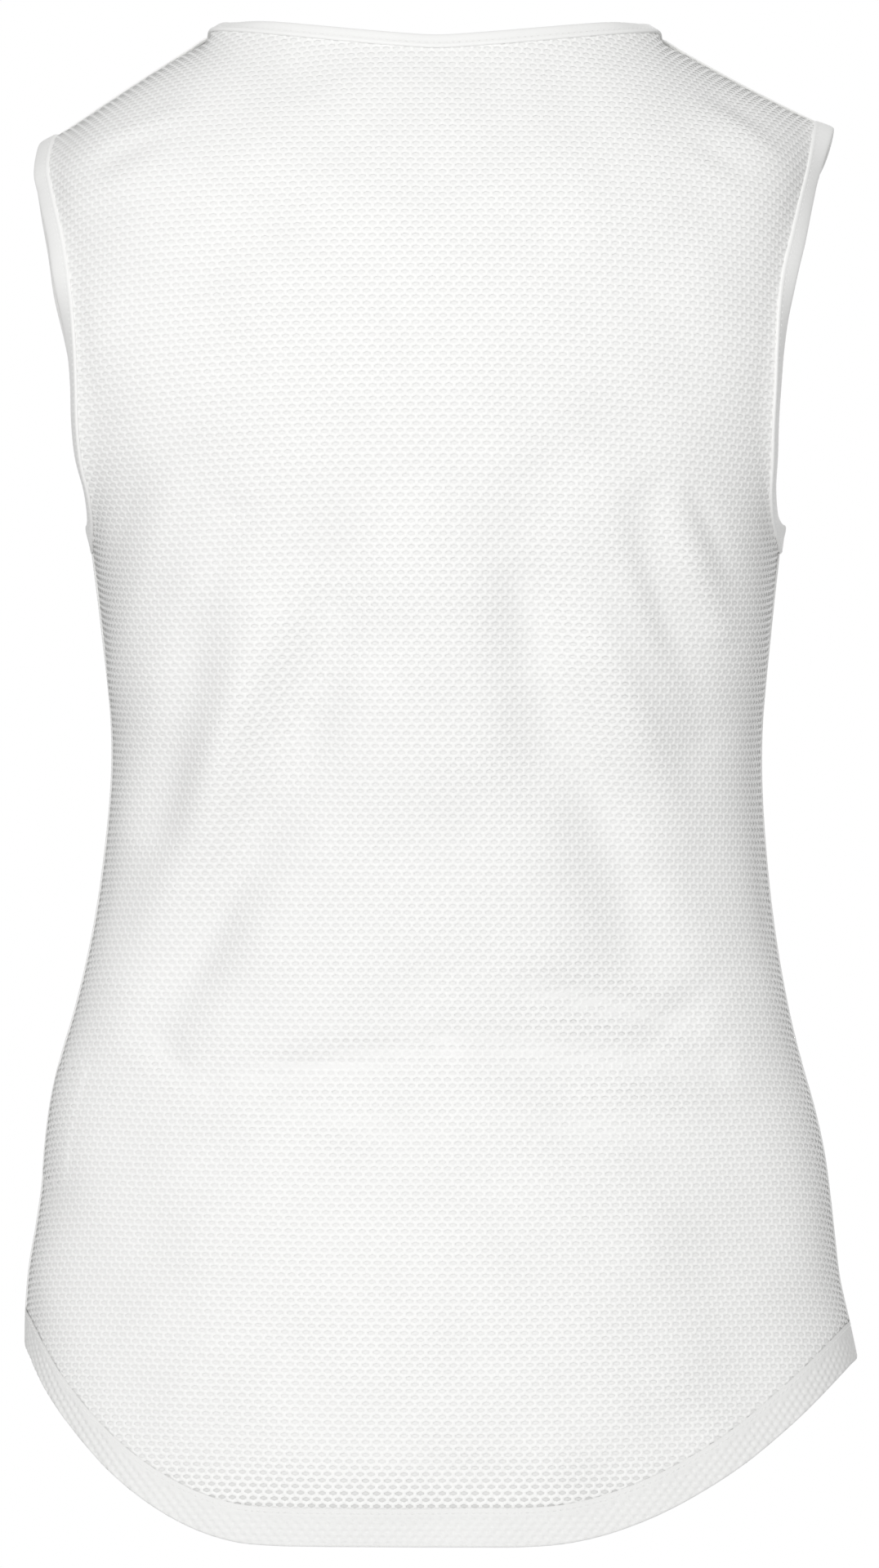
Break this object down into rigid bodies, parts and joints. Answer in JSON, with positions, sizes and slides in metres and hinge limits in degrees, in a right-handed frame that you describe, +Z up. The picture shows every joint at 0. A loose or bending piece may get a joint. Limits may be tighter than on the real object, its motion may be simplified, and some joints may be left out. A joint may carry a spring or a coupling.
{
  "type": "cycling tank top",
  "caption": "Sleeveless mesh top in its worn, hollow form, with bound scoop neck and armholes, side seams and a shirt-tail hem longer at the back",
  "frame": {"origin": "on the centre plane, level with the middle of the shoulders, where a wearer's shoulders bear the garment", "axes": "+Z up, +X towards the wearer's left, -Y the garment's front and +Y its back"},
  "size_m": [0.3718, 0.2251, 0.6679],
  "materials": {
    "mesh_cloth": "white polyester honeycomb mesh knit, matt with a faint sheen",
    "binding_knit": "white smooth elastic knit binding",
    "label_satin": "white satin label, blank"
  },
  "bodies": {
    "root": {"back_panel": "mesh_cloth", "front_panel": "mesh_cloth", "neck_binding": "binding_knit", "armhole_binding_left": "binding_knit", "armhole_binding_right": "binding_knit", "care_label": "label_satin"}
  },
  "joints": []
}
